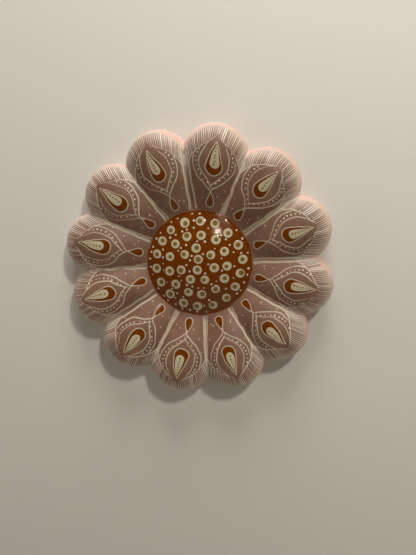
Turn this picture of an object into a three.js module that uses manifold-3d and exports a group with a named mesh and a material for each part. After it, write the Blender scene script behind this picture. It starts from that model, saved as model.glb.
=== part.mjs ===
// Wall flower ornament: one open-backed earthenware shell with puffed petals round a low dome.
// Millimetres, +Z up. The flower faces -Y and its rim lies on the wall plane y = 0.
// The origin is the middle of the back face of the hanging strap, which bridges the hollow back.
// Heights below are measured off the wall plane, towards -Y.

import * as THREE from 'three';
import * as BufferGeometryUtils from 'three/addons/utils/BufferGeometryUtils.js';
import Module from 'manifold-3d';

// Outline, seen from the front
const petalCount = 12;
const outerRadius = 125;
const notchDepth = 15.5; // how far the notch between two petals lies inside their tips

// Hand-built unevenness
const hangingTurn = 9.7; // degrees clockwise from straight up to the first petal
const petalWander = 0.9; // degrees that a petal strays from its even place
const wanderTurn = 32; // degrees round to where the straying starts
const domeOffCentre = 2; // how far the dome sits to the right of the middle

// Relief, as heights off the wall
const crestHeight = 32;
const crestInset = 22; // from a petal's tip in to its crest
const grooveDepth = 9; // groove between two petals, below the crest
const grooveInset = 12; // from a notch in to the crest line
const widestHeight = 10; // where the rounded side reaches furthest out
const rimTuck = 2.5; // how far the side curls in again below that

const domeRadius = 48;
const domeFootHeight = 15;
const domeRise = 10;

const wallThickness = 7;

// Hanging strap: a clay staple across the hollow, its back flush with the rim
const strapAboveCentre = 84;
const strapWidth = 42;
const strapHeight = 15;
const strapThickness = 6;
const strapLegWidth = 8;
const strapInnerFillet = 3;
const strapEdgeRound = 1.2;

// How finely the curved surfaces are faceted
const columnsPerPetal = 12;
const domeSteps = 4;
const faceSteps = 6;
const rollSteps = 6;
const underSteps = 3;
const filletSteps = 3;
const edgeRoundSteps = 2;

const halfPetal = Math.PI / petalCount;
const columns = petalCount * columnsPerPetal;
const notchRadius = outerRadius - notchDepth;

// Each petal's end is one round arc through its tip and the two notches beside it
const tipArcCentre =
  (outerRadius ** 2 - notchRadius ** 2) / (2 * (outerRadius - notchRadius * Math.cos(halfPetal)));
const tipArcRadius = outerRadius - tipArcCentre;

function mix(from, to, share) {
  return from + (to - from) * share;
}

function outlineRadius(offAxis) {
  const sideways = tipArcCentre * Math.sin(offAxis);
  return tipArcCentre * Math.cos(offAxis) + Math.sqrt(tipArcRadius ** 2 - sideways ** 2);
}

// What every zone of a petal needs at one angle off its axis. puff is 0 on the axis, 1 in a groove
function petalSection(offAxis) {
  const puff = (offAxis / halfPetal) ** 2;
  const outline = outlineRadius(offAxis);
  return {
    puff,
    outline,
    crestRadius: outline - mix(crestInset, grooveInset, puff),
    crestTop: crestHeight - grooveDepth * puff,
  };
}

// A low round cap
function domeZone(section, share) {
  const capRadius = (domeRadius ** 2 + domeRise ** 2) / (2 * domeRise);
  const radius = domeRadius * share;
  const height = domeFootHeight + domeRise - capRadius + Math.sqrt(capRadius ** 2 - radius ** 2);
  return { radius, height, shift: domeOffCentre };
}

// The petals rise from the dome's foot to their crest, puffed between the grooves
function faceZone(section, share) {
  const radius = mix(domeRadius, section.crestRadius, share);
  const rise = Math.sin(share * Math.PI / 2);
  const axisHeight = mix(domeFootHeight, crestHeight, rise);
  const height = axisHeight - grooveDepth * Math.sqrt(share) * section.puff;
  return { radius, height, shift: domeOffCentre * (1 - share) };
}

// The petals roll over from the crest to their widest line
function rollZone(section, share) {
  const turn = share * Math.PI / 2;
  const radius = mix(section.crestRadius, section.outline, Math.sin(turn));
  const height = mix(widestHeight, section.crestTop, Math.cos(turn));
  return { radius, height, shift: 0 };
}

// The side curls in a little on its way back to the wall
function underZone(section, share) {
  const turn = share * Math.PI / 2;
  const radius = section.outline - rimTuck * (1 - Math.cos(turn));
  const height = widestHeight * (1 - Math.sin(turn));
  return { radius, height, shift: 0 };
}

function zoneRings(zone, steps) {
  return Array.from({ length: steps }, (unused, step) => {
    const share = (step + 1) / steps;
    return (section) => zone(section, share);
  });
}

const domeRings = zoneRings(domeZone, domeSteps);
const faceRings = zoneRings(faceZone, faceSteps);
const rollRings = zoneRings(rollZone, rollSteps);
const underRings = zoneRings(underZone, underSteps);

// Clockwise from straight up, as a viewer in front sees it
function placePoint(radius, height, shift, petalAngle) {
  const stray = THREE.MathUtils.degToRad(petalWander)
    * Math.sin(2 * petalAngle - THREE.MathUtils.degToRad(wanderTurn));
  const angle = petalAngle + stray + THREE.MathUtils.degToRad(hangingTurn);
  return new THREE.Vector3(
    shift + radius * Math.sin(angle),
    -height,
    radius * Math.cos(angle) - strapAboveCentre,
  );
}

function ringPoints(ring) {
  return Array.from({ length: columns }, (unused, column) => {
    const withinPetal = (column % columnsPerPetal) / columnsPerPetal;
    const offAxis = (withinPetal > 0.5 ? withinPetal - 1 : withinPetal) * 2 * halfPetal;
    const petalAngle = column / columns * 2 * Math.PI;
    const spot = ring(petalSection(offAxis));
    return placePoint(spot.radius, spot.height, spot.shift, petalAngle);
  });
}

const domeTop = placePoint(0, domeFootHeight + domeRise, domeOffCentre, 0);
const frontRings = [...domeRings, ...faceRings, ...rollRings].map(ringPoints);
const rimRings = underRings.map(ringPoints);

// The front surface moved towards the wall, square to itself, by a depth of clay
function sunkenRing(index, depth) {
  const ring = frontRings[index];
  const inner = index > 0 ? frontRings[index - 1] : null;
  const outer = index + 1 < frontRings.length ? frontRings[index + 1] : rimRings[0];
  return ring.map((point, column) => {
    const before = ring[(column + columns - 1) % columns];
    const after = ring[(column + 1) % columns];
    const around = new THREE.Vector3().subVectors(after, before);
    const outward = new THREE.Vector3().subVectors(outer[column], inner ? inner[column] : domeTop);
    const normal = new THREE.Vector3().crossVectors(around, outward).normalize();
    return point.clone().addScaledVector(normal, -depth);
  });
}

function droppedRing(ring, height) {
  return ring.map((point) => new THREE.Vector3(point.x, -height, point.z));
}

// A closed body from a first point, rings of equal length and a last point
function closedBody(firstPoint, rings, lastPoint) {
  const positions = [firstPoint, ...rings.flat(), lastPoint].flatMap((point) => point.toArray());
  const index = [];
  const at = (ring, column) => 1 + ring * columns + (column % columns);
  const last = 1 + rings.length * columns;
  for (let column = 0; column < columns; column += 1) {
    index.push(0, at(0, column + 1), at(0, column));
    for (let ring = 0; ring + 1 < rings.length; ring += 1) {
      index.push(at(ring, column), at(ring + 1, column + 1), at(ring + 1, column));
      index.push(at(ring, column), at(ring, column + 1), at(ring + 1, column + 1));
    }
    index.push(last, at(rings.length - 1, column), at(rings.length - 1, column + 1));
  }
  const geometry = new THREE.BufferGeometry();
  geometry.setAttribute('position', new THREE.Float32BufferAttribute(positions, 3));
  geometry.setIndex(index);
  return geometry;
}

// The inside is smoothed by hand, so it follows every second ring of the front
function shellGeometry() {
  const widest = frontRings.length - 1;
  const insideRings = [];
  for (let index = widest; index >= 0; index -= 2) {
    insideRings.push(sunkenRing(index, wallThickness));
  }
  const insideFoot = droppedRing(insideRings[0], 0);
  const insideTop = domeTop.clone().add(new THREE.Vector3(0, wallThickness, 0));
  return closedBody(domeTop, [...frontRings, ...rimRings, insideFoot, ...insideRings], insideTop);
}

// Everything behind the middle of the wall, for trimming the strap's legs inside the clay
function midWallGeometry() {
  const pastTheWall = -1;
  const rings = frontRings.map((unused, index) => sunkenRing(index, wallThickness / 2));
  const foot = droppedRing(rings[rings.length - 1], pastTheWall);
  const top = domeTop.clone().add(new THREE.Vector3(0, wallThickness / 2, 0));
  const middleOfFoot = new THREE.Vector3(domeTop.x, -pastTheWall, domeTop.z);
  return closedBody(top, [...rings, foot], middleOfFoot);
}

// A staple lying on the wall plane, its two legs reaching forward into the petals
function strapGeometry() {
  const half = strapWidth / 2;
  const window = half - strapLegWidth;
  const shape = new THREE.Shape();
  shape.moveTo(-half, 0);
  shape.lineTo(half, 0);
  shape.lineTo(half, -crestHeight);
  shape.lineTo(window, -crestHeight);
  shape.lineTo(window, -strapThickness - strapInnerFillet);
  shape.quadraticCurveTo(window, -strapThickness, window - strapInnerFillet, -strapThickness);
  shape.lineTo(strapInnerFillet - window, -strapThickness);
  shape.quadraticCurveTo(-window, -strapThickness, -window, -strapThickness - strapInnerFillet);
  shape.lineTo(-window, -crestHeight);
  shape.lineTo(-half, -crestHeight);
  shape.closePath();
  const geometry = new THREE.ExtrudeGeometry(shape, {
    depth: strapHeight - 2 * strapEdgeRound,
    curveSegments: filletSteps,
    bevelThickness: strapEdgeRound,
    bevelSize: strapEdgeRound,
    bevelOffset: -strapEdgeRound,
    bevelSegments: edgeRoundSteps,
  });
  geometry.translate(0, 0, strapEdgeRound - strapHeight / 2);
  return geometry;
}

const wasm = await Module();
wasm.setup();

function toSolid(geometry) {
  const bare = geometry.clone();
  bare.deleteAttribute('normal');
  bare.deleteAttribute('uv');
  const merged = BufferGeometryUtils.mergeVertices(bare, 1e-4);
  return new wasm.Manifold(new wasm.Mesh({
    numProp: 3,
    vertProperties: new Float32Array(merged.attributes.position.array),
    triVerts: new Uint32Array(merged.index.array),
  }));
}

function toGeometry(solid) {
  const mesh = solid.getMesh();
  const geometry = new THREE.BufferGeometry();
  geometry.setAttribute('position', new THREE.BufferAttribute(mesh.vertProperties, 3));
  geometry.setIndex(new THREE.BufferAttribute(mesh.triVerts, 1));
  geometry.computeVertexNormals();
  return geometry;
}

const strap = toSolid(strapGeometry()).intersect(toSolid(midWallGeometry()));
const flowerBody = toSolid(shellGeometry()).add(strap);

const paintedClay = new THREE.MeshStandardMaterial({ color: 0xb58d82, roughness: 0.35, metalness: 0 });
const flower = new THREE.Mesh(toGeometry(flowerBody), paintedClay);
flower.name = 'flower';

const ornament = new THREE.Group();
ornament.add(flower);

export default ornament;
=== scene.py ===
import math

import bpy
import numpy as np
from mathutils import Euler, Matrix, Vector
from mathutils.bvhtree import BVHTree
from mathutils.kdtree import KDTree


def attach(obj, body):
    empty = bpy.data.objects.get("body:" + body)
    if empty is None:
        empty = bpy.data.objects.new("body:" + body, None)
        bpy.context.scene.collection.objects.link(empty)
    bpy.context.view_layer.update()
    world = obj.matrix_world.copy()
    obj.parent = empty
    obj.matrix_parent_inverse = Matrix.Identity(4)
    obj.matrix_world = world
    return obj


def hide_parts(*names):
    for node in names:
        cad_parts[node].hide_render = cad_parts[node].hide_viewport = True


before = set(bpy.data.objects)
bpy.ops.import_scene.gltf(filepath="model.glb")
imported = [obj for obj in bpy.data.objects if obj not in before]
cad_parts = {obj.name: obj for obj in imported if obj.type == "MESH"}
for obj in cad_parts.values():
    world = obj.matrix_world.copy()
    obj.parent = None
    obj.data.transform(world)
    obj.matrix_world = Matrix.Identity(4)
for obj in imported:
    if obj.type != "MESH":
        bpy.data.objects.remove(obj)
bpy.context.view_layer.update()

mm = 0.001
degree = math.pi / 180


def linearColour(hexColour):
    channels = [int(hexColour[place:place + 2], 16) / 255 for place in (1, 3, 5)]
    return [c / 12.92 if c <= 0.04045 else ((c + 0.055) / 1.055) ** 2.4 for c in channels] + [1.0]


# Adds a node. A value that is a node, a socket or a tree number is linked, anything else is set
def addNode(tree, kind, settings, inputs):
    node = tree.nodes.new(kind)
    for name, value in settings.items():
        setattr(node, name, value)
    for key, value in inputs.items():
        named = [s for s in node.inputs if s.enabled and s.name == key]
        socket = named[0] if named else node.inputs[key]
        if isinstance(value, TreeNumber):
            value = value.socket
        elif isinstance(value, bpy.types.Node):
            value = next(s for s in value.outputs if s.enabled)
        if isinstance(value, bpy.types.NodeSocket):
            tree.links.new(value, socket)
        else:
            socket.default_value = value
    return node


# A value that flows through a node tree. A sum written with it adds the nodes that work it out
class TreeNumber:
    def __init__(self, socket):
        self.socket = socket

    def __add__(self, other):
        return mathOf("ADD", self, other)

    def __radd__(self, other):
        return mathOf("ADD", other, self)

    def __sub__(self, other):
        return mathOf("SUBTRACT", self, other)

    def __rsub__(self, other):
        return mathOf("SUBTRACT", other, self)

    def __mul__(self, other):
        return mathOf("MULTIPLY", self, other)

    def __truediv__(self, other):
        return mathOf("DIVIDE", self, other)

    def __rtruediv__(self, other):
        return mathOf("DIVIDE", other, self)


def mathOf(operation, *values, clamp=False):
    tree = next(v.socket.id_data for v in values if isinstance(v, TreeNumber))
    settings = {"operation": operation, "use_clamp": clamp}
    return resultOf(addNode(tree, "ShaderNodeMath", settings, dict(enumerate(values))))


def clamped(value):
    return mathOf("ADD", value, 0.0, clamp=True)


# A node's results, ready for sums: the first one, or all of them by name
def resultOf(node):
    return TreeNumber(next(s for s in node.outputs if s.enabled))


def resultsOf(node):
    return {s.name: TreeNumber(s) for s in node.outputs if s.enabled and s.name}


def newMaterial(name):
    material = bpy.data.materials.new(name)
    material.use_nodes = True
    material.node_tree.nodes.clear()
    return material


# A geometry tree with its sockets, given as (direction, kind, names), and its inputs by name
def newTree(name, sockets):
    tree = bpy.data.node_groups.new(name, "GeometryNodeTree")
    for direction, kind, names in sockets:
        for socket in names:
            tree.interface.new_socket(socket, in_out=direction, socket_type="NodeSocket" + kind)
    return tree, resultsOf(tree.nodes.new("NodeGroupInput"))


def linkedObject(name, data):
    linked = bpy.data.objects.new(name, data)
    bpy.context.scene.collection.objects.link(linked)
    return linked


# From the flower's middle towards an azimuth right of its front and an elevation, in radians
def directionTo(azimuth, elevation):
    return Vector((
        math.sin(azimuth) * math.cos(elevation),
        -math.cos(azimuth) * math.cos(elevation),
        math.sin(elevation),
    ))


# The flower's sizes, in metres and radians. All but the groove softness and the rim round are the
# solid's own
flowerSizes = {
    "petal count": 12,
    "outer radius": 125 * mm,
    "notch depth": 15.5 * mm,
    "hanging turn": 9.7 * degree,
    "petal wander": 0.9 * degree,
    "wander turn": 32 * degree,
    "dome off centre": 2 * mm,
    "crest height": 32 * mm,
    "crest inset": 22 * mm,
    "groove depth": 9 * mm,
    "groove inset": 12 * mm,
    "groove softness": 0.05,  # share of half a petal over which the clay was smoothed in the groove
    "widest height": 10 * mm,
    "rim tuck": 2.5 * mm,
    "rim round": 1.3 * mm,
    "dome radius": 48 * mm,
    "dome foot height": 15 * mm,
    "dome rise": 10 * mm,
    "wall thickness": 7 * mm,
    "strap above centre": 84 * mm,
}
flowerRows = {
    "dome rows": 14,
    "face rows": 60,
    "roll rows": 30,
    "under rows": 6,
    "rim rows": 5,
    "foot rows": 3,
    "inside rows": 16,
}
flowerFinish = {
    "columns": 660,
    "hand unevenness": 0.35 * mm,
    "hand dent size": 35 * mm,
    "inside unevenness": 1.3 * mm,
    "finger size": 16 * mm,
    "steady rim": 4 * mm,  # the dents die away over this distance from the wall
    "inset": 0.12 * mm,  # keeps the highest dents inside the solid's box
    "weld distance": 0.002 * mm,
    "seed": 4,
}
flowerCentre = Vector((0, 0, -flowerSizes["strap above centre"]))


# Camera, where the photograph was taken from: a little above the flower and right of it
viewpoint = {
    "distance": 396 * mm,
    "azimuth": 7.1 * degree,
    "elevation": 7.8 * degree,
    "focalLengthPixels": 416,
    "frameWidth": 416,
    "frameHeight": 555,
    "flowerCentreX": 199.1,  # pixels from the frame's left
    "flowerCentreY": 261.3,  # pixels from its top
}


def makeCamera(v):
    data = bpy.data.cameras.new("photoCamera")
    data.lens = data.sensor_width * v["focalLengthPixels"] / v["frameHeight"]
    data.clip_start = 0.01
    data.clip_end = 50
    camera = linkedObject("photoCamera", data)
    back = directionTo(v["azimuth"], v["elevation"])
    camera.location = flowerCentre + back * v["distance"]
    toRight = math.atan((v["flowerCentreX"] - v["frameWidth"] / 2) / v["focalLengthPixels"])
    upward = math.atan((v["frameHeight"] / 2 - v["flowerCentreY"]) / v["focalLengthPixels"])
    camera.rotation_mode = "QUATERNION"
    facing = (-back).to_track_quat("-Z", "Y")
    camera.rotation_quaternion = facing @ Euler((-upward, toRight, 0)).to_quaternion()
    bpy.context.scene.camera = camera


makeCamera(viewpoint)
print("camera placed")


# The clay's front as one sheet. turn goes once round, clockwise from the top petal. reach goes
# 0 to 1 over the dome, to 2 up the petals' faces, to 3 over their rounded ends, to 4 down to the rim
def frontSheetTree():
    tree, s = newTree("claySheet", [
        ("INPUT", "Float", ["turn", "reach", *flowerSizes]),
        ("OUTPUT", "Vector", ["point"]),
        ("OUTPUT", "Float", ["radius", "petal angle"]),
    ])
    petalAngle = s["turn"] * math.tau
    halfPetal = math.pi / s["petal count"]
    side = mathOf("FRACT", s["turn"] * s["petal count"] + 0.5) * 2 - 1
    offAxis = side * halfPetal

    # puff is 0 on the petal's axis and 1 in the groove, whose bottom is soft
    softness = s["groove softness"]
    fromGroove = 1 - mathOf("ABSOLUTE", side)
    rounded = mathOf("SQRT", fromGroove * fromGroove + softness * softness) - softness
    full = mathOf("SQRT", softness * softness + 1) - softness
    softFromAxis = 1 - rounded / full
    puff = softFromAxis * softFromAxis

    # The petal's end is one arc through its tip and both notches
    outer = s["outer radius"]
    notch = outer - s["notch depth"]
    notchBehindTip = outer - notch * mathOf("COSINE", halfPetal)
    arcCentre = (outer * outer - notch * notch) / (notchBehindTip * 2)
    arcRadius = outer - arcCentre
    sideways = arcCentre * mathOf("SINE", offAxis)
    arcRest = mathOf("SQRT", arcRadius * arcRadius - sideways * sideways)
    outline = arcCentre * mathOf("COSINE", offAxis) + arcRest

    # How far each stretch of the sheet has gone, and how far it has turned
    domeShare, faceShare, rollShare, underShare = [clamped(s["reach"] - start) for start in range(4)]
    faceTurn, rollTurn, underTurn = [n * (math.pi / 2) for n in (faceShare, rollShare, underShare)]

    # Distance from the middle
    inset = (s["groove inset"] - s["crest inset"]) * puff + s["crest inset"]
    faceLength = outline - inset - s["dome radius"]
    onDome = s["dome radius"] * domeShare
    onFace = faceLength * faceShare + onDome
    onRoll = inset * mathOf("SINE", rollTurn) + onFace
    radius = onRoll - s["rim tuck"] * (1 - mathOf("COSINE", underTurn))

    # Height off the wall
    rise, domeRadius = s["dome rise"], s["dome radius"]
    capRadius = (rise * rise + domeRadius * domeRadius) / (rise * 2)
    capRest = mathOf("SQRT", capRadius * capRadius - onDome * onDome)
    domeHeight = s["dome foot height"] + rise - capRadius + capRest
    faceRise = s["crest height"] - s["dome foot height"]
    groove = s["groove depth"] * puff
    faceHeight = faceRise * mathOf("SINE", faceTurn) + domeHeight - groove * mathOf("SQRT", faceShare)
    rollHeight = s["crest height"] - groove - s["widest height"]
    rollFall = rollHeight * (1 - mathOf("COSINE", rollTurn))
    underFall = (s["widest height"] - s["rim round"]) * mathOf("SINE", underTurn)
    height = faceHeight - rollFall - underFall

    # Its place in the flower
    stray = s["petal wander"] * mathOf("SINE", petalAngle * 2 - s["wander turn"])
    angle = stray + petalAngle + s["hanging turn"]
    shift = s["dome off centre"] * (1 - faceShare)
    point = addNode(tree, "ShaderNodeCombineXYZ", {}, {
        "X": radius * mathOf("SINE", angle) + shift,
        "Y": height * -1,
        "Z": radius * mathOf("COSINE", angle) - s["strap above centre"],
    })
    addNode(tree, "NodeGroupOutput", {}, {"point": point, "radius": radius, "petal angle": petalAngle})
    return tree


# The whole clay shell as one long sheet, from the dome's top over the front and the rim and back
# along the inside: rows go that way, columns go round
def clayShellTree(sheetTree):
    tree, s = newTree("clayShell", [
        ("INPUT", "Float", [*flowerSizes, "hand unevenness", "inside unevenness", "inset", "steady rim"]),
        ("INPUT", "Int", [*flowerRows, "columns", "seed"]),
        ("INPUT", "Material", ["material"]),
        ("OUTPUT", "Geometry", ["shell"]),
    ])
    starts = [0.0]
    for name in flowerRows:
        starts.append(starts[-1] + s[name])
    allRows = starts.pop()
    grid = addNode(tree, "GeometryNodeMeshGrid", {}, {
        "Size X": 1.0, "Size Y": 1.0, "Vertices X": s["columns"] + 1, "Vertices Y": allRows + 1})
    gridPlace = addNode(tree, "GeometryNodeInputPosition", {}, {})
    onGrid = resultsOf(addNode(tree, "ShaderNodeSeparateXYZ", {}, {"Vector": gridPlace}))
    turn = onGrid["X"] + 0.5
    row = (onGrid["Y"] + 0.5) * allRows

    # How far a point has gone along each stretch of rows
    dome, face, roll, under, rim, foot, inside = [
        clamped((row - start) / s[name]) for name, start in zip(flowerRows, starts)]
    frontReach = dome + face + roll + under
    backReach = (1 - inside) * 3
    turnStep, reachStep = 0.004, 0.05  # how far to each side the front is sampled for its slope
    poleReach = 0.001  # below this the point is the dome's top, where the sheet has no slope
    slopeReach = mathOf("MAXIMUM", backReach, reachStep)
    samples = {
        "front": (turn, frontReach),
        "back": (turn, backReach),
        "before": (turn - turnStep, slopeReach),
        "after": (turn + turnStep, slopeReach),
        "inward": (turn, slopeReach - reachStep),
        "outward": (turn, slopeReach + reachStep),
    }
    sheets = {}
    for name, (turnThere, reachThere) in samples.items():
        inputs = {"turn": turnThere, "reach": reachThere, **{size: s[size] for size in flowerSizes}}
        sheets[name] = resultsOf(addNode(tree, "GeometryNodeGroup", {"node_tree": sheetTree}, inputs))
    point = {name: sheet["point"] for name, sheet in sheets.items()}

    # The inside follows the front at the wall's thickness, square to it
    around, outward = [
        addNode(tree, "ShaderNodeVectorMath", {"operation": "SUBTRACT"}, {0: point[to], 1: point[start]})
        for start, to in (("before", "after"), ("inward", "outward"))]
    across = addNode(tree, "ShaderNodeVectorMath", {"operation": "CROSS_PRODUCT"}, {0: around, 1: outward})
    slope = addNode(tree, "ShaderNodeVectorMath", {"operation": "NORMALIZE"}, {0: across})
    normal = addNode(tree, "ShaderNodeMix", {"data_type": "VECTOR"}, {
        "Factor": mathOf("LESS_THAN", backReach, poleReach), "A": slope, "B": (0.0, -1.0, 0.0)})
    sunk = addNode(tree, "ShaderNodeVectorMath", {"operation": "SCALE"}, {
        0: normal, "Scale": s["wall thickness"] * -1})
    behind = addNode(tree, "ShaderNodeVectorMath", {"operation": "ADD"}, {0: point["back"], 1: sunk})
    joined = addNode(tree, "ShaderNodeMix", {"data_type": "VECTOR"}, {
        "Factor": rim, "A": point["front"], "B": behind})
    front, back, both = [
        resultsOf(addNode(tree, "ShaderNodeSeparateXYZ", {}, {"Vector": vector}))
        for vector in (point["front"], behind, joined)]

    # The rim turns over in a small round bulge between the front and the foot of the inside
    footY = (back["Y"] + s["rim round"]) * foot - s["rim round"]
    straightY = (footY - front["Y"]) * rim + front["Y"]
    bulge = 1 - mathOf("POWER", mathOf("ABSOLUTE", rim * 2 - 1), 4.0)
    position = addNode(tree, "ShaderNodeCombineXYZ", {}, {
        "X": both["X"], "Y": bulge * s["rim round"] + straightY, "Z": both["Z"]})

    # The painter's plan: each petal at its even place, with the reach beside it
    radius, petalAngle = sheets["front"]["radius"], sheets["front"]["petal angle"]
    plan = addNode(tree, "ShaderNodeCombineXYZ", {}, {
        "X": radius * mathOf("SINE", petalAngle),
        "Y": radius * mathOf("COSINE", petalAngle),
        "Z": frontReach,
    })
    planned = addNode(tree, "GeometryNodeStoreNamedAttribute", {"data_type": "FLOAT_VECTOR"}, {
        "Geometry": grid, "Name": "plan", "Value": plan})
    marked = addNode(tree, "GeometryNodeStoreNamedAttribute", {"data_type": "FLOAT"}, {
        "Geometry": planned, "Name": "inside", "Value": rim})
    placed = addNode(tree, "GeometryNodeSetPosition", {}, {"Geometry": marked, "Position": position})
    merged = addNode(tree, "GeometryNodeMergeByDistance", {}, {
        "Geometry": placed, "Distance": flowerFinish["weld distance"]})

    # Pressed and smoothed by hand: every face dips a little into the clay, the inside more
    uneven = addNode(tree, "ShaderNodeTexNoise", {"noise_dimensions": "4D"}, {
        "W": s["seed"], "Scale": 1 / flowerFinish["hand dent size"], "Detail": 2.0, "Roughness": 0.4})
    fingered = addNode(tree, "ShaderNodeTexNoise", {"noise_dimensions": "4D"}, {
        "W": s["seed"], "Scale": 1 / flowerFinish["finger size"], "Detail": 1.0})
    insideMark = resultOf(
        addNode(tree, "GeometryNodeInputNamedAttribute", {"data_type": "FLOAT"}, {"Name": "inside"}))
    claySpot = addNode(tree, "GeometryNodeInputPosition", {}, {})
    clayPlace = resultsOf(addNode(tree, "ShaderNodeSeparateXYZ", {}, {"Vector": claySpot}))
    frontDip = resultOf(uneven) * s["hand unevenness"] + s["inset"]
    insideDip = resultOf(fingered) * s["inside unevenness"]
    dip = (insideDip - frontDip) * insideMark + frontDip
    dipHere = dip * clamped(clayPlace["Y"] / (s["steady rim"] * -1))
    dipped = addNode(tree, "ShaderNodeVectorMath", {"operation": "SCALE"}, {
        0: addNode(tree, "GeometryNodeInputNormal", {}, {}), "Scale": dipHere * -1})
    dented = addNode(tree, "GeometryNodeSetPosition", {}, {"Geometry": merged, "Offset": dipped})
    smooth = addNode(tree, "GeometryNodeSetShadeSmooth", {}, {"Geometry": dented})
    realized = addNode(tree, "GeometryNodeRealizeInstances", {}, {"Geometry": smooth})
    finished = addNode(tree, "GeometryNodeSetMaterial", {}, {
        "Geometry": realized, "Material": s["material"]})
    addNode(tree, "NodeGroupOutput", {}, {"shell": finished})
    return tree


# Turns what an object's modifiers make into its plain mesh and takes the modifiers off
def settleMesh(piece):
    depsgraph = bpy.context.evaluated_depsgraph_get()
    mesh = bpy.data.meshes.new_from_object(
        piece.evaluated_get(depsgraph), preserve_all_data_layers=True, depsgraph=depsgraph)
    piece.modifiers.clear()
    piece.data = mesh
    mesh.name = piece.name


def makeClayShell(material):
    shell = linkedObject("paintedFlower", bpy.data.meshes.new("paintedFlower"))
    modifier = shell.modifiers.new("clayShell", "NODES")
    modifier.node_group = clayShellTree(frontSheetTree())
    values = {**flowerSizes, **flowerRows, **flowerFinish, "material": material}
    for item in modifier.node_group.interface.items_tree:
        if item.in_out == "INPUT":
            modifier[item.identifier] = values[item.name]
    settleMesh(shell)
    return shell


# Hanging strap: a flat roll of clay bent like a staple, both ends smeared onto the petals' inside
strapSizes = {
    "width": 42 * mm,
    "height": 15 * mm,
    "thickness": 6 * mm,
    "legWidth": 8 * mm,
    "cornerRound": 1.6 * mm,
    "cornerSteps": 4,
    "bendRadius": 4 * mm,
    "bendSteps": 6,
    "middleSteps": 5,
    "legSteps": 8,
    "smear": 4 * mm,  # how far the clay spreads where it was pressed on
    "rootDepth": 3.5 * mm,
    "waver": 0.35 * mm,
}


def makeStrap(shell, s, materials):
    bpy.context.view_layer.update()
    surface = BVHTree.FromObject(shell, bpy.context.evaluated_depsgraph_get())
    bendStart = (s["width"] - s["legWidth"]) / 2 - s["bendRadius"]
    legTop = s["thickness"] / 2 + s["bendRadius"]
    towardsFront = Vector((0, -1, 0))
    # One half from the middle out, as shares of the straight part, of the bend and of the leg
    half = [(share, 0.0, 0.0) for share in np.linspace(0, 1, s["middleSteps"])[1:]]
    half += [(1.0, share, 0.0) for share in np.linspace(0, 1, s["bendSteps"])[1:]]
    half += [(1.0, 1.0, share) for share in np.linspace(0, 1, s["legSteps"])[1:]]
    stations = [(-1, *shares) for shares in reversed(half)] + [(1, 0.0, 0.0, 0.0)]
    stations += [(1, *shares) for shares in half]
    vertices = []
    for side, straight, bend, leg in stations:
        turned = bend * math.pi / 2
        smear = s["smear"] * leg ** 3
        halfBreadth = (s["thickness"] + (s["legWidth"] - s["thickness"]) * bend) / 2 + smear
        section = roundedSection(halfBreadth, s["height"] / 2 + smear, s["cornerRound"], s["cornerSteps"])
        for outward, up in section:
            x = side * (straight * bendStart + (s["bendRadius"] + outward) * math.sin(turned))
            height = legTop - (s["bendRadius"] + outward) * math.cos(turned)
            if leg > 0:
                hit = surface.ray_cast(Vector((x, legTop, up)), towardsFront)[0]
                height = legTop + (s["rootDepth"] - hit.y - legTop) * leg
            wavered = up * (1 - s["waver"] / s["height"] * (1 + math.sin(x / s["bendRadius"])))
            vertices.append((x, -height, wavered))
    ringSize = len(section)
    faces = []
    for low in range(0, len(vertices) - ringSize, ringSize):
        for corner in range(ringSize):
            here, beside = low + corner, low + (corner + 1) % ringSize
            faces.append((here, beside, beside + ringSize, here + ringSize))
    faces.append(tuple(reversed(range(ringSize))))
    faces.append(tuple(range(len(vertices) - ringSize, len(vertices))))
    mesh = bpy.data.meshes.new("strapClay")
    mesh.from_pydata(vertices, [], faces)
    for material in materials:
        mesh.materials.append(material)
    mesh.polygons.foreach_set("material_index", [len(materials) - 1] * len(faces))
    mesh.polygons.foreach_set("use_smooth", [True] * len(faces))
    return linkedObject("strapClay", mesh)


# A rectangle with round corners, as points in order round it
def roundedSection(halfBreadth, halfTall, corner, steps):
    points = []
    for quarter, (sideways, upward) in enumerate([(1, 1), (-1, 1), (-1, -1), (1, -1)]):
        for step in range(steps + 1):
            angle = (quarter + step / steps) * math.pi / 2
            points.append((
                sideways * (halfBreadth - corner) + corner * math.cos(angle),
                upward * (halfTall - corner) + corner * math.sin(angle),
            ))
    return points


# Brush handling that all the painted parts share, in millimetres
brush = {
    "seed": 21,
    "waver": 0.35,
    "waverLength": 17,
    "waverLengths": (0.6, 1.6),  # shortest and longest wave, as shares of that
    "waves": 4,
    "domeWaver": 0.4,  # share of the waver that the dome's edge gets
    "samplesPerSpan": 7,
    "taperShare": 0.16,
    "thinnestEnd": 0.45,
    "dropFullness": 1.45,
}

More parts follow.
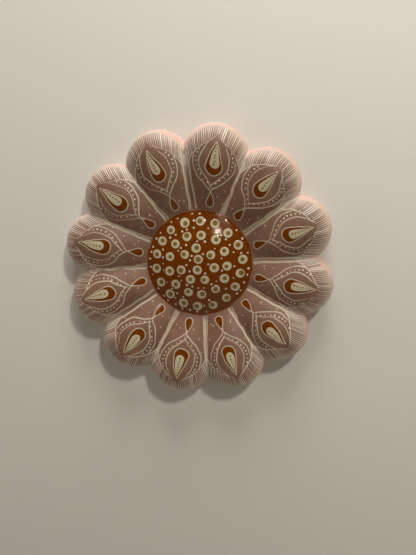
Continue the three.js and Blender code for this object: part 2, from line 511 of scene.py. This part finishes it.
# The pattern on one petal, in millimetres from the flower's middle: across the petal, then outward.
# Lines are given for the right half, and each petal's two halves are drawn with their own small slips.
# Pairs of shares are the least and the most that chance may pick
petalPattern = {
    "edgeBand": 3.3,  # plain paint left outside the outline, seen from the front
    "edgeBandSwing": 0.9,  # wider by this on the petals towards the top, narrower opposite
    "edgeBandTurn": 20 * degree,
    "outlineHalfWidth": 0.6,
    "outlineWidths": (0.85, 1.15),
    "legStart": 50.6,
    "legGaps": [(50.6, 1.7), (57, 1.3), (68, 1.05), (90, 0.9)],  # distance out, distance from the groove
    "legSplays": (0.7, 1.35),  # how much the gap changes at the leg's root
    "legSlip": 0.12,
    "legHalfWidths": (1.05, 0.6),
    "legThinning": 0.7,
    "arcEnd": 80 * degree,
    "arcPoints": 7,
    "shoulder": [(0, 111.2), (6.5, 106.2), (13, 101.2), (18.6, 95), (21.2, 89), (21.7, 83)],
    "shoulderSlope": 0.78,  # turns a distance outward into one square to the shoulder
    "innerLoop": [
        (-1.6, 67.6), (0, 70), (4.5, 75), (10.4, 81.5), (12.8, 88.5), (11.8, 95.5), (8.6, 102), (6.6, 105.4)],
    "outerLoop": [(-1.2, 63.6), (0.9, 66.6), (5.6, 70.8), (12.8, 76.6), (17.4, 84), (18.3, 91), (17.2, 97.6)],
    "lineHalfWidth": 0.47,
    "lineWidths": (0.8, 1.2),
    "lineSlip": 0.3,
    "drop": {"roundEnd": 79.2, "tip": 105.2, "radius": 6.1, "outline": 1.0, "outlineTip": 2.2},
    "dropSpread": 0.08,  # share by which a petal's drops may be larger or smaller across
    "dropSlip": 0.4,
    "seed": {"roundEnd": 84.6, "tip": 104.6, "radius": 4.0, "aside": 0.7, "asides": (0.5, 1.2), "fill": 0.2},
    "smallDrop": {"roundEnd": 52.4, "tip": 63.4, "radius": 3.1, "outline": 0.85, "outlineTip": 1.6},
    "smallDropSwing": {"slip": 0.6, "from": 66, "over": 12},
    "seedDots": {"count": 6, "first": 87.8, "step": 2.6, "radius": 0.85, "shrink": 0.05, "slip": 0.2},
    "laceLine": [(3.6, 72.6), (8.8, 77.2), (13.2, 82.6), (15.4, 88.6), (15.2, 94.4), (13.4, 99.4)],
    "laceDots": {"count": 9, "radius": 0.66, "slip": 0.2, "ends": (0.02, 0.98)},
    "laceRadii": (0.75, 1.2),
    "laceStrengths": (0.7, 1),
    "strayDots": [(18.6, 79), (12.6, 66.5), (11.4, 57.2), (6.4, 60.2)],
    "strayRadius": 0.66,
    "strayRadii": (0.8, 1.2),
    "strayStrength": 0.55,
    "strayStrengths": (0.4, 1.1),
    "straySlip": 1.2,
    "hatchMiddle": 46,  # the hatching strokes run towards this point on the petal's axis
    "hatchSpacing": 1.75,  # real strokes stand about 1.5 apart, drawn coarser to show in the picture
    "hatchAt": 70,
    "lean": 0.78,  # degrees, the usual lean of a petal's motif
    "bend": 1.6,  # how far a drop's tip may swing aside
    "bendCurve": {"from": 84, "over": 22, "most": 1.3},  # its swing grows from here, over this length
}

domePattern = {
    "edge": 48.4,
    "rings": [(39.4, 18), (27.2, 13), (15.2, 7), (4.9, 2)],  # distance out and how many ring dots
    "dotRadius": 4.1,
    "dotRadii": (0.92, 1.06),
    "middleRadius": 2.15,
    "middleRadii": (0.85, 1.15),
    "middleSlip": 0.48,
    "slip": 0.54,
    "speckRings": [(45.0, 40), (39.4, 18), (33.4, 34), (21.2, 24), (10.2, 12)],
    "speckRadius": 0.88,
    "speckRadii": (0.7, 1.25),
    "speckStrengths": (0.75, 1),
    "speckSlip": 0.65,
    "speckSkip": 0.16,
    "speckGap": 0.4,
}


# Points on the plan are complex numbers: across the petal plus 1j times outward
def smoothPath(points, samples):
    p = np.array([complex(*point) for point in points])
    before = np.concatenate([[2 * p[0] - p[1]], p[:-1]])
    after = np.concatenate([p[1:], [2 * p[-1] - p[-2]]])
    slopes = (after - before) / 2
    t = np.arange(samples) / samples
    spans = [
        (2 * t ** 3 - 3 * t ** 2 + 1) * p[i] + (t ** 3 - 2 * t ** 2 + t) * slopes[i]
        + (3 * t ** 2 - 2 * t ** 3) * p[i + 1] + (t ** 3 - t ** 2) * slopes[i + 1]
        for i in range(len(p) - 1)
    ]
    return np.concatenate([*spans, p[-1:]])


def tapered(count, halfWidth):
    t = np.linspace(0, 1, count)
    ends = np.clip(np.minimum(t, 1 - t) / brush["taperShare"], brush["thinnestEnd"], 1)
    return halfWidth * ends


# Millimetres from the edge of a brush line, less than nothing inside it
def lineDistance(spots, path, halfWidths):
    start, run = path[:-1], path[1:] - path[:-1]
    offset = spots[:, None] - start
    share = np.clip((offset * run.conj()).real / np.abs(run) ** 2, 0, 1)
    widths = halfWidths[:-1] + share * (halfWidths[1:] - halfWidths[:-1])
    return (np.abs(offset - share * run) - widths).min(axis=1)


# Millimetres from the edge of a drop: a round end whose sides draw in to a point
def dropDistance(spots, roundEnd, tip, radius):
    middle = roundEnd + radius
    reach = tip - middle
    along, aside = spots.imag - middle, np.abs(spots.real)
    share = np.clip(along / reach, 0, 1)
    halfWidth = radius * (1 - share ** brush["dropFullness"])
    narrowing = radius / reach * brush["dropFullness"] * share ** (brush["dropFullness"] - 1)
    sideDistance = (aside - halfWidth) / np.sqrt(1 + narrowing ** 2)
    distance = np.where(along > 0, sideDistance, np.hypot(along, aside) - radius)
    return np.where(along > reach, np.hypot(along - reach, aside), distance)


# How far a drop's tip swings aside at a distance out
def bentAside(distance, swing):
    curve = petalPattern["bendCurve"]
    return swing * np.clip((distance - curve["from"]) / curve["over"], 0, curve["most"]) ** 2


# One petal's painting, drawn with its own slips of the hand
def drawPetal(spots, petalAngle, random):
    p = petalPattern
    turned = np.exp(1j * random.normal(0, p["lean"] * degree))
    spots = spots * turned
    swing = random.uniform(-1, 1) * p["bend"]
    strokes, dots, darkDots = [], [], []

    # The outline runs from the dome up beside one groove, round the petal's end and down the other
    halfPetal = math.pi / flowerSizes["petal count"]
    outer = flowerSizes["outer radius"] / mm
    notch = outer - flowerSizes["notch depth"] / mm
    arcCentre = (outer ** 2 - notch ** 2) / (2 * (outer - notch * math.cos(halfPetal)))
    edgeBand = p["edgeBand"] + p["edgeBandSwing"] * math.cos(petalAngle - p["edgeBandTurn"])
    arcRadius = outer - arcCentre - edgeBand
    for side in (1, -1):
        alongGroove = complex(math.sin(halfPetal) * side, math.cos(halfPetal))
        inward = complex(-math.cos(halfPetal) * side, math.sin(halfPetal))
        splay = random.uniform(*p["legSplays"])
        leg = []
        for number, (distance, gap) in enumerate(p["legGaps"]):
            splayed = gap * (1 + (splay - 1) * (1 - number / (len(p["legGaps"]) - 1)))
            leg.append(distance * alongGroove + (splayed + random.normal(0, p["legSlip"])) * inward)
        arc = [
            1j * arcCentre + arcRadius * complex(math.sin(a) * side, math.cos(a))
            for a in np.linspace(p["arcEnd"], 0, p["arcPoints"])
        ]
        path = smoothPath([(z.real, z.imag) for z in leg + arc], brush["samplesPerSpan"])
        legShare = np.clip((np.abs(path) - p["legStart"]) / (notch - p["legStart"]), 0, 1)
        atRoot, atTop = p["legHalfWidths"]
        widths = atRoot + (atTop - atRoot) * legShare ** p["legThinning"]
        widths[-len(arc) * brush["samplesPerSpan"]:] = p["outlineHalfWidth"]
        strokes.append((path, widths * random.uniform(*p["outlineWidths"])))
        for name in ("shoulder", "innerLoop", "outerLoop"):
            slipped = []
            for x, y in p[name]:
                across = x * side + random.normal(0, p["lineSlip"])
                slipped.append((across, y + random.normal(0, p["lineSlip"])))
            path = smoothPath(slipped, brush["samplesPerSpan"])
            strokes.append((path, tapered(len(path), p["lineHalfWidth"] * random.uniform(*p["lineWidths"]))))
        row = p["laceDots"]
        lace = smoothPath([(x * side, y) for x, y in p["laceLine"]], brush["samplesPerSpan"])
        for share in np.linspace(*row["ends"], row["count"]):
            spot = lace[int(share * (len(lace) - 1))] + complex(*random.normal(0, row["slip"], 2))
            radius = row["radius"] * random.uniform(*p["laceRadii"])
            dots.append((spot, radius, random.uniform(*p["laceStrengths"])))
        for x, y in p["strayDots"]:
            spot = complex(x * side, y) + complex(*random.normal(0, p["straySlip"], 2))
            radius = p["strayRadius"] * random.uniform(*p["strayRadii"])
            dots.append((spot, radius, p["strayStrength"] * random.uniform(*p["strayStrengths"])))
    creamLines = np.min([lineDistance(spots, *stroke) for stroke in strokes], axis=0)

    big, small, seed, low = p["drop"], p["smallDrop"], p["seed"], p["smallDropSwing"]
    spread = random.uniform(1 - p["dropSpread"], 1 + p["dropSpread"])
    aside = seed["aside"] * random.choice([-1, 1]) * random.uniform(*seed["asides"])
    bent = spots - bentAside(spots.imag, swing) + random.normal(0, p["dropSlip"])
    bigOutline = dropDistance(bent, big["roundEnd"] - big["outline"], big["tip"] + big["outlineTip"],
                              big["radius"] * spread + big["outline"])
    bigFill = dropDistance(bent - aside * seed["fill"], big["roundEnd"], big["tip"], big["radius"] * spread)
    seedFill = dropDistance(bent - aside, seed["roundEnd"], seed["tip"], seed["radius"] * spread)
    swung = spots - random.normal(0, low["slip"]) * np.clip((low["from"] - spots.imag) / low["over"], 0, 1)
    smallOutline = dropDistance(swung, small["roundEnd"] - small["outline"],
                                small["tip"] + small["outlineTip"], small["radius"] + small["outline"])
    smallFill = dropDistance(swung, small["roundEnd"], small["tip"], small["radius"])

    row = p["seedDots"]
    for number in range(row["count"]):
        y = row["first"] + number * row["step"]
        spot = complex(aside + bentAside(y, swing), y) + complex(*random.normal(0, row["slip"], 2))
        darkDots.append((spot, row["radius"] - number * row["shrink"], 1.0))

    # Hatching: which stroke a spot lies on, how far in from the outline and how far past the shoulder
    fromMiddle = spots - 1j * p["hatchMiddle"]
    fan = np.arctan2(fromMiddle.real, fromMiddle.imag) * p["hatchAt"] / p["hatchSpacing"]
    insideOutline = arcRadius - np.hypot(spots.real, np.maximum(spots.imag - arcCentre, 0))
    shoulderAcross, shoulderOut = np.array(p["shoulder"]).T
    pastShoulder = spots.imag - np.interp(np.abs(spots.real), shoulderAcross, shoulderOut)
    return {
        "strokes": np.minimum(np.minimum(creamLines, bigOutline), smallOutline),
        "rust": np.minimum(bigFill, smallFill),
        "seed": seedFill,
        "hatch": np.stack([fan, insideOutline, pastShoulder * p["shoulderSlope"]], axis=1),
        "dots": [(spot / turned, radius, strength) for spot, radius, strength in dots],
        "darkDots": [(spot / turned, radius, strength) for spot, radius, strength in darkDots],
    }


# Spots evenly round a ring, each with its own slip of the hand
def ringSpots(distance, count, slip, random):
    start = random.uniform(0, math.tau)
    for number in range(count):
        angle = start + number / count * math.tau
        spot = distance * complex(math.cos(angle), math.sin(angle))
        yield spot + complex(*random.normal(0, slip, 2))


# The dome's ring dots with their ochre middles, and the specks between them
def domeDots(random):
    p = domePattern
    dots, middles = [], []
    for distance, count in p["rings"]:
        for spot in ringSpots(distance, count, p["slip"], random):
            dots.append((spot, p["dotRadius"] * random.uniform(*p["dotRadii"]), 1.0))
            off = complex(*random.normal(0, p["middleSlip"], 2))
            middles.append((spot + off, p["middleRadius"] * random.uniform(*p["middleRadii"]), 1.0))
    rings = np.array([spot for spot, radius, strength in dots])
    for distance, count in p["speckRings"]:
        for spot in ringSpots(distance, count, p["speckSlip"], random):
            radius = p["speckRadius"] * random.uniform(*p["speckRadii"])
            clear = np.abs(rings - spot).min() > p["dotRadius"] + radius + p["speckGap"]
            if clear and random.random() > p["speckSkip"] and abs(spot) < p["edge"] - radius:
                dots.append((spot, radius, random.uniform(*p["speckStrengths"])))
    return dots, middles


# Limits of the painted ground, in reach and in the inside mark, and how its paint is looked up
ground = {
    "insideLimit": 0.001,
    "furthestReach": 3.4,
    "petalsFrom": 1.001,
    "far": 9.0,  # stands for no paint near
    "hatchApart": 100,  # gives every petal's strokes numbers of their own
    "dotsCompared": 5,
    "bareFrom": 0.01,
}


# For every corner of a face, how far it lies from the face's nearest dot, in that dot's radii
def dotPlaces(cornerSpots, faceOfCorner, faceMiddles, faceShown, dots):
    spots, radii, strengths = (np.array(values) for values in zip(*dots))
    tree = KDTree(len(dots))
    for number, spot in enumerate(spots):
        tree.insert((spot.real, spot.imag, 0), number)
    tree.balance()
    nearest = np.zeros(len(faceMiddles), int)
    for face in np.flatnonzero(faceShown):
        middle = faceMiddles[face]
        close = tree.find_n((middle.real, middle.imag, 0), ground["dotsCompared"])
        nearest[face] = min(close, key=lambda found: found[2] - radii[found[1]])[1]
    chosen = nearest[faceOfCorner]
    offset = (cornerSpots - spots[chosen]) / radii[chosen]
    places = np.stack([offset.real, offset.imag, strengths[chosen]], axis=1)
    places[~faceShown[faceOfCorner]] = (ground["far"], ground["far"], 0)
    return places


def storeAttribute(mesh, name, domain, values):
    kind, field = ("FLOAT", "value") if values.ndim == 1 else ("FLOAT_VECTOR", "vector")
    attribute = mesh.attributes.new(name, kind, domain)
    attribute.data.foreach_set(field, values.astype(np.float32).ravel())


def readValues(items, field, size, kind):
    values = np.zeros(len(items) * size, kind)
    items.foreach_get(field, values)
    return values.reshape(-1, size).T if size > 1 else values


def paintFlower(mesh):
    random = np.random.default_rng(brush["seed"])
    count = len(mesh.vertices)
    planX, planY, reach = readValues(mesh.attributes["plan"].data, "vector", 3, np.float32).astype(float)
    inside = readValues(mesh.attributes["inside"].data, "value", 1, np.float32)
    spots = (planX + 1j * planY) / mm
    onFront = (inside < ground["insideLimit"]) & (reach < ground["furthestReach"])

    # An unsteady hand: every line wavers a little
    waver = np.zeros(count, complex)
    amplitude = brush["waver"] / math.sqrt(brush["waves"])
    for number in range(brush["waves"]):
        direction = np.exp(1j * random.uniform(0, math.tau))
        length = brush["waverLength"] * random.uniform(*brush["waverLengths"])
        phase = (spots * direction.conjugate()).real / length * math.tau
        waver += np.sin(phase + random.uniform(0, math.tau)) * direction * 1j * amplitude

    fields = {name: np.full(count, ground["far"]) for name in ("strokes", "rust", "seed")}
    hatch = np.zeros((count, 3))
    hatch[:, 1:] = -ground["far"]
    dots, darkDots = domeDots(random)
    petalCount = flowerSizes["petal count"]
    petalStep = math.tau / petalCount
    petalOf = np.round((math.pi / 2 - np.angle(spots)) / petalStep).astype(int) % petalCount
    for petal in range(petalCount):
        chosen = np.flatnonzero(onFront & (petalOf == petal) & (reach > ground["petalsFrom"]))
        upright = np.exp(1j * petal * petalStep)
        petalAngle = flowerSizes["hanging turn"] + petal * petalStep
        drawn = drawPetal((spots[chosen] + waver[chosen]) * upright, petalAngle, random)
        for name in fields:
            fields[name][chosen] = drawn[name]
        hatch[chosen] = drawn["hatch"]
        hatch[chosen, 0] += petal * ground["hatchApart"]
        dots += [(spot / upright, radius, strength) for spot, radius, strength in drawn["dots"]]
        darkDots += [(spot / upright, radius, strength) for spot, radius, strength in drawn["darkDots"]]
    domeEdge = np.abs(spots + waver * brush["domeWaver"]) - domePattern["edge"]
    fields["rust"] = np.where(onFront, np.minimum(fields["rust"], domeEdge), ground["far"])

    cornerVertex = readValues(mesh.loops, "vertex_index", 1, np.int32)
    starts = readValues(mesh.polygons, "loop_start", 1, np.int32)
    sizes = readValues(mesh.polygons, "loop_total", 1, np.int32)
    faceOfCorner = np.repeat(np.arange(len(starts)), sizes)
    cornerSpots = spots[cornerVertex]
    faceMiddles = np.add.reduceat(cornerSpots, starts) / sizes
    faceShown = np.logical_and.reduceat(onFront[cornerVertex], starts)
    faceInside = np.add.reduceat(inside[cornerVertex], starts) / sizes
    for name, values in fields.items():
        storeAttribute(mesh, name, "POINT", values)
    storeAttribute(mesh, "hatch", "POINT", hatch)
    for name, painted in (("creamDots", dots), ("darkDots", darkDots)):
        places = dotPlaces(cornerSpots, faceOfCorner, faceMiddles, faceShown, painted)
        storeAttribute(mesh, name, "CORNER", places)
    mesh.polygons.foreach_set("material_index", (faceInside > ground["bareFrom"]).astype(np.int32))


# Earthenware painted with slip colours in thin brush coats under a clear varnish: soft mottled colour,
# satin on the petals, a little glossier round their sides, and wet-looking with sharp highlights where
# the rust colour lies thick, on the drops and the dome
paintLook = {
    "pink": "#805f4d",
    "deepPink": "#644736",
    # the pale pink over the rounded side past the outline: partly the rim's own pinker paint, partly painted
    # light on the rounded rim
    "sidePinkAndPaintedLight": "#cfaca1",
    "cream": "#b1a78a",
    "line": "#bcb198",
    "speck": "#d3c8b4",
    "hatching": "#dacebe",
    "rust": "#703500",
    "deepRust": "#4e2300",
    "darkDot": "#75582f",
    "ochre": "#6f5828",
    "gloss": 0.3,
    "ior": 1.5,
    "petalRoughness": 0.5,
    "rustRoughness": 0.1,
    "grainRoughness": 0.06,
    "sidePolish": 0.18,
    "mottle": 26,  # millimetres
    "grain": 1.1,
    "mottleContrast": 1.6,
    "mottleLevel": 1.3,
    "grainContrast": 2,
    "rustMottle": 1.8,
    "rustMottleLevel": 0.45,
    "sideStart": 0.3,
    "sideGrowth": 0.7,  # for each millimetre out past the outline
    "sidePatchiness": 0.3,
    "sidesFrom": 1.9,  # reach from which the varnish shines more
    "domeReach": 1.02,
    "softEdge": 0.28,
    "raggedEdge": 0.22,
    "paintThickness": 0.12,
    "dotThickness": 2.2,  # times the lines' thickness
    "bumpStrength": 0.5,
    "grainBump": 0.25,
    "dropRagged": 0.5,  # shares of the lines' ragged edge
    "hatchRagged": 0.12,
    "dotRagged": 0.2,
    "hatchHalfWidth": 0.2,  # shares of the strokes' spacing
    "hatchHalfWidthSpread": 0.2,
    "hatchThinning": 0.008,  # for each millimetre in from the outline
    "hatchCrispness": 5,
    "hatchStart": 2,
    "hatchOvershoot": -0.9,  # millimetres past the shoulder
    "hatchOvershootSpread": 3,
    "hatchEndFade": 0.8,
    "hatchStrength": 0.5,
    "hatchStrengthSpread": 0.5,
    "washAndSheenStrength": 0.26,  # thin cream over the petal's end, partly painted sheen on its rolled-over end
    "washAndSheenFade": 0.03,
    "lineCover": 0.65,
    "lineCoverSpread": 0.4,
    "dryMiddleFrom": 0.4,  # where a wide line's middle begins to show the ground
    "dryMiddleSlope": 1.3,
    "dryness": 0.75,
    "dotCover": 0.96,
    "ringDotsFrom": 0.97,  # strength that only the ring dots have
    "dotCrispness": 7,
    "darkDotCrispness": 4,
}


def varnishedPaint(look):
    material = newMaterial("varnishedPaintedEarthenware")
    tree = material.node_tree
    objectPlace = addNode(tree, "ShaderNodeTexCoord", {}, {}).outputs["Object"]
    strokes, rust, seed = [
        resultsOf(addNode(tree, "ShaderNodeAttribute", {"attribute_name": name}, {}))["Fac"]
        for name in ("strokes", "rust", "seed")]
    hatch, creamDot, darkDot, plan = [
        resultsOf(addNode(tree, "ShaderNodeSeparateXYZ", {}, {
            "Vector": addNode(tree, "ShaderNodeAttribute", {"attribute_name": name}, {}).outputs["Vector"]}))
        for name in ("hatch", "creamDots", "darkDots", "plan")]
    mottle, grain = [
        resultOf(addNode(tree, "ShaderNodeTexNoise", {}, {
            "Vector": objectPlace, "Scale": 1 / (size * mm), "Detail": detail, "Roughness": 0.55}))
        for size, detail in ((look["mottle"], 3.0), (look["grain"], 2.0))]

    ragged = grain * (look["raggedEdge"] * 2) - look["raggedEdge"]
    strokeEdge = strokes + ragged
    strokeMask, rustMask, seedMask = [
        clamped(edge * (-1 / look["softEdge"]) + 0.5)
        for edge in (strokeEdge, ragged * look["dropRagged"] + rust, ragged * look["dropRagged"] + seed)]

    # Hatching strokes, each with its own width, length and strength
    offStroke = mathOf("ABSOLUTE", mathOf("FRACT", hatch["X"]) - 0.5)
    own = addNode(tree, "ShaderNodeTexWhiteNoise", {"noise_dimensions": "1D"}, {
        "W": mathOf("FLOOR", hatch["X"])})
    chance = addNode(tree, "ShaderNodeSeparateColor", {}, {"Color": own.outputs["Color"]})
    ownWidth, ownLength, ownStrength = resultsOf(chance).values()
    strokeStart = clamped(hatch["Y"] * look["hatchStart"])
    fullWidth = ownWidth * look["hatchHalfWidthSpread"] + look["hatchHalfWidth"]
    halfWidth = ragged * look["hatchRagged"] + (hatch["Y"] * -look["hatchThinning"] + fullWidth)
    hatchEdge = clamped((halfWidth - offStroke) * look["hatchCrispness"])
    toEnd = hatch["Z"] + (ownLength * look["hatchOvershootSpread"] + look["hatchOvershoot"])
    hatchShape = hatchEdge * strokeStart * clamped(toEnd * look["hatchEndFade"])
    hatchMask = hatchShape * (ownStrength * look["hatchStrengthSpread"] + look["hatchStrength"])
    # Cream over each petal's end, fading inward from the outline: partly thin cream paint, partly painted
    # sheen on the rolled end
    creamWashAndSheen = clamped(hatch["Y"] * -look["washAndSheenFade"] + look["washAndSheenStrength"]) * strokeStart

    # Dots, at their distance in radii from their middles
    creamDistance, darkDistance = [
        mathOf("SQRT", dot["Y"] * dot["Y"] + dot["X"] * dot["X"]) for dot in (creamDot, darkDot)]
    creamDotEdge = 1 - (ragged * look["dotRagged"] + creamDistance)
    creamDotMask = clamped(creamDotEdge * look["dotCrispness"] + 0.5) * creamDot["Z"]
    darkDotMask = clamped((1 - darkDistance) * look["darkDotCrispness"] + 0.5)

    # How well each cream layer covers
    dryMiddle = clamped(strokeEdge * -look["dryMiddleSlope"] - look["dryMiddleFrom"])
    cover = clamped(grain * look["lineCoverSpread"] + look["lineCover"])
    creamLines = strokeMask * clamped(dryMiddle * -look["dryness"] + cover)
    creamSeed = seedMask * look["dotCover"]
    creamDots = creamDotMask * look["dotCover"]

    # Colour, one coat over the other: mask, colour, and for some a second colour and its share
    reach = plan["Z"]
    mottled = mottle * look["mottleContrast"] - look["mottleLevel"]
    mottleShare = clamped(grain * look["grainContrast"] + mottled)
    # Past the outline a paler pink goes on all round: partly the rim's own paint, partly painted light on the
    # rounded side
    pastOutline = clamped(hatch["Y"] * -look["sideGrowth"] + look["sideStart"])
    sidePinkAndLightMask = pastOutline * (mottleShare * -look["sidePatchiness"] + 1)
    coats = [
        (mottleShare, "pink"),
        # The side pink and the cream wash over the petals' ends are partly painted light: light on the
        # rounded rim and sheen on the rolled ends
        (sidePinkAndLightMask, "sidePinkAndPaintedLight"),
        (creamWashAndSheen, "hatching"),
        (hatchMask, "hatching"),
        (creamLines, "line"),
        (rustMask, "rust", "deepRust", clamped(grain * look["rustMottle"] - look["rustMottleLevel"])),
        (creamSeed, "cream"),
        (creamDots, "speck", "cream", mathOf("GREATER_THAN", creamDot["Z"], look["ringDotsFrom"])),
        (darkDotMask, "darkDot", "ochre", mathOf("LESS_THAN", reach, look["domeReach"])),
    ]
    colour = linearColour(look["deepPink"])
    for mask, name, *second in coats:
        coat = linearColour(look[name])
        if second:
            coat = addNode(tree, "ShaderNodeMix", {"data_type": "RGBA"}, {
                "Factor": second[1], "A": coat, "B": linearColour(look[second[0]])})
        colour = addNode(tree, "ShaderNodeMix", {"data_type": "RGBA"}, {
            "Factor": mask, "A": colour, "B": coat})

    raised = creamDots * look["dotThickness"]
    for layer in (hatchMask, creamLines, creamSeed):
        raised = mathOf("MAXIMUM", raised, layer)
    bump = addNode(tree, "ShaderNodeBump", {}, {
        "Strength": look["bumpStrength"], "Distance": look["paintThickness"] * mm,
        "Height": grain * look["grainBump"] + raised})
    rustShine = rustMask * (look["rustRoughness"] - look["petalRoughness"]) + look["petalRoughness"]
    pastCrest = clamped(reach - look["sidesFrom"]) * (1 - rustMask)
    roughness = pastCrest * -look["sidePolish"] + (grain * look["grainRoughness"] + rustShine)
    shader = addNode(tree, "ShaderNodeBsdfPrincipled", {}, {
        "Base Color": colour, "Roughness": roughness, "IOR": look["ior"], "Normal": bump,
        "Specular IOR Level": look["gloss"]})
    addNode(tree, "ShaderNodeOutputMaterial", {}, {"Surface": shader})
    return material


# Fired red clay left bare inside: dull and chalky, with fine grit and smears of the pink at the rim
clayLook = {
    "light": "#c58a66",
    "dark": "#a2603f",
    "pinkSmear": "#c39a8f",
    "roughness": 0.92,
    "blotch": 18,  # millimetres
    "grit": 0.9,
    "gritDepth": 0.25,
    "gritStrength": 0.8,
    "gritContrast": 0.35,
    "blotchContrast": 2.4,
    "blotchLevel": 0.7,
    "smearReach": 1.4,
    "smearLevel": 0.2,
    "smearCrispness": 6,
}


def bareTerracotta(look):
    material = newMaterial("bareTerracotta")
    tree = material.node_tree
    objectPlace = addNode(tree, "ShaderNodeTexCoord", {}, {}).outputs["Object"]
    inside = resultsOf(addNode(tree, "ShaderNodeAttribute", {"attribute_name": "inside"}, {}))["Fac"]
    blotch, grit = [
        resultOf(addNode(tree, "ShaderNodeTexNoise", {}, {
            "Vector": objectPlace, "Scale": 1 / (size * mm), "Detail": detail, "Roughness": 0.6}))
        for size, detail in ((look["blotch"], 4.0), (look["grit"], 3.0))]
    blotched = clamped(blotch * look["blotchContrast"] - look["blotchLevel"])
    lightShare = grit * look["gritContrast"] + blotched
    smearEdge = blotch * look["smearReach"] - look["smearLevel"] - inside
    smear = clamped(smearEdge * look["smearCrispness"])
    colour = linearColour(look["dark"])
    for mask, name in ((lightShare, "light"), (smear, "pinkSmear")):
        colour = addNode(tree, "ShaderNodeMix", {"data_type": "RGBA"}, {
            "Factor": mask, "A": colour, "B": linearColour(look[name])})
    bump = addNode(tree, "ShaderNodeBump", {}, {
        "Strength": look["gritStrength"], "Distance": look["gritDepth"] * mm, "Height": grit})
    shader = addNode(tree, "ShaderNodeBsdfPrincipled", {}, {
        "Base Color": colour, "Roughness": look["roughness"], "Normal": bump})
    addNode(tree, "ShaderNodeOutputMaterial", {}, {"Surface": shader})
    return material


# The union leaves the strap's corners with no true inside mark, so all that is near it gets one
def markStrapInside(mesh, s):
    marks = mesh.attributes["inside"].data
    across, outward, upward = np.abs(readValues(mesh.attributes["position"].data, "vector", 3, np.float32))
    inside = readValues(marks, "value", 1, np.float32)
    inside[(across < s["width"] / 2 + s["smear"]) & (upward < s["height"] / 2 + s["smear"])] = 1
    marks.foreach_set("value", inside)


painted = varnishedPaint(paintLook)
bare = bareTerracotta(clayLook)
flower = makeClayShell(painted)
flower.data.materials.clear()
for material in (painted, bare):
    flower.data.materials.append(material)
paintFlower(flower.data)
print("flower shaped and painted", len(flower.data.polygons))
strap = makeStrap(flower, strapSizes, (painted, bare))
union = flower.modifiers.new("strap", "BOOLEAN")
union.operation = "UNION"
union.object = strap
union.solver = "EXACT"
settleMesh(flower)
markStrapInside(flower.data, strapSizes)
bpy.data.objects.remove(strap)
print("strap joined", len(flower.data.polygons))

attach(flower, "root")
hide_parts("flower")


# Stage: a plain pale wall behind the flower, see-through from behind, and a plain pale floor
stageLook = {
    "wall": "#cbcac1",
    "floor": "#d6d3cb",
    "roughness": 0.9,
    "gloss": 0.2,
    "size": 6.0,
    "wallGap": 0.5 * mm,
    "floorDrop": 1.1,
    "ambient": "#f2e8dc",
    "ambientStrength": 0.06,
    "backdrop": "#d9d8d4",  # seen only where the camera looks past the wall and floor
    "backdropStrength": 0.8,
}


def makeStage(s):
    half = s["size"] / 2
    square = [(-half, -half), (half, -half), (half, half), (-half, half)]
    planes = [
        ("wallPaint", s["wall"], [(across, s["wallGap"], upward) for across, upward in square], True),
        ("floorPaint", s["floor"], [(across, along, -s["floorDrop"]) for across, along in square], False),
    ]
    for name, hexColour, corners, seenThrough in planes:
        material = newMaterial(name)
        tree = material.node_tree
        surface = addNode(tree, "ShaderNodeBsdfPrincipled", {}, {
            "Base Color": linearColour(hexColour), "Roughness": s["roughness"],
            "Specular IOR Level": s["gloss"]})
        if seenThrough:
            back = addNode(tree, "ShaderNodeNewGeometry", {}, {}).outputs["Backfacing"]
            clear = addNode(tree, "ShaderNodeBsdfTransparent", {}, {})
            surface = addNode(tree, "ShaderNodeMixShader", {}, {0: back, 1: surface, 2: clear})
        addNode(tree, "ShaderNodeOutputMaterial", {}, {"Surface": surface})
        mesh = bpy.data.meshes.new(name)
        mesh.from_pydata(corners, [], [(0, 1, 2, 3)])
        mesh.materials.append(material)
        plane = linkedObject(name, mesh)
        plane.visible_shadow = not seenThrough
    world = bpy.data.worlds.new("softRoom")
    world.use_nodes = True
    tree = world.node_tree
    tree.nodes.clear()
    soft, seen = [
        addNode(tree, "ShaderNodeBackground", {}, {
            "Color": linearColour(s[name]), "Strength": s[name + "Strength"]})
        for name in ("ambient", "backdrop")]
    looking = addNode(tree, "ShaderNodeLightPath", {}, {}).outputs["Is Camera Ray"]
    both = addNode(tree, "ShaderNodeMixShader", {}, {0: looking, 1: soft, 2: seen})
    addNode(tree, "ShaderNodeOutputWorld", {}, {"Surface": both})
    bpy.context.scene.world = world
    bpy.context.scene.view_settings.view_transform = "Standard"


# Lamps as azimuth and elevation in degrees, distance, size, watts, colour and what they give, all
# aimed at the flower. A lamp gives light, a highlight in the varnish or both
lamps = {
    "keyLamp": (28, 40, 1.2, 0.1, 7.2, "#fffaf4", "both"),
    "ceilingLight": (12, 72, 1.2, 0.5, 12.8, "#fffaf6", "both"),
    "frontLamp": (12, 20, 2.0, 0.05, 1.2, "#ffeedd", "light"),
    "frontGlare": (13, 26, 2.0, 0.16, 4.5, "#fff0d8", "highlight"),
    "rightLight": (75, -15, 1.1, 0.6, 1.6, "#ffeedd", "light"),
    "leftLight": (-66, 2, 1.1, 0.6, 2.0, "#fff4ea", "light"),
    "fillBehind": (200, 25, 1.6, 1.2, 12, "#ffffff", "both"),
}


def makeLamps():
    for name, (azimuth, elevation, distance, size, watts, hexColour, gives) in lamps.items():
        data = bpy.data.lights.new(name, "AREA")
        data.size = size
        data.energy = watts
        data.color = linearColour(hexColour)[:3]
        lamp = linkedObject(name, data)
        back = directionTo(azimuth * degree, elevation * degree)
        lamp.location = flowerCentre + back * distance
        lamp.visible_glossy = gives != "light"
        lamp.visible_diffuse = gives != "highlight"
        lamp.rotation_mode = "QUATERNION"
        lamp.rotation_quaternion = (-back).to_track_quat("-Z", "Y")


makeStage(stageLook)
makeLamps()
print("stage and lamps set")
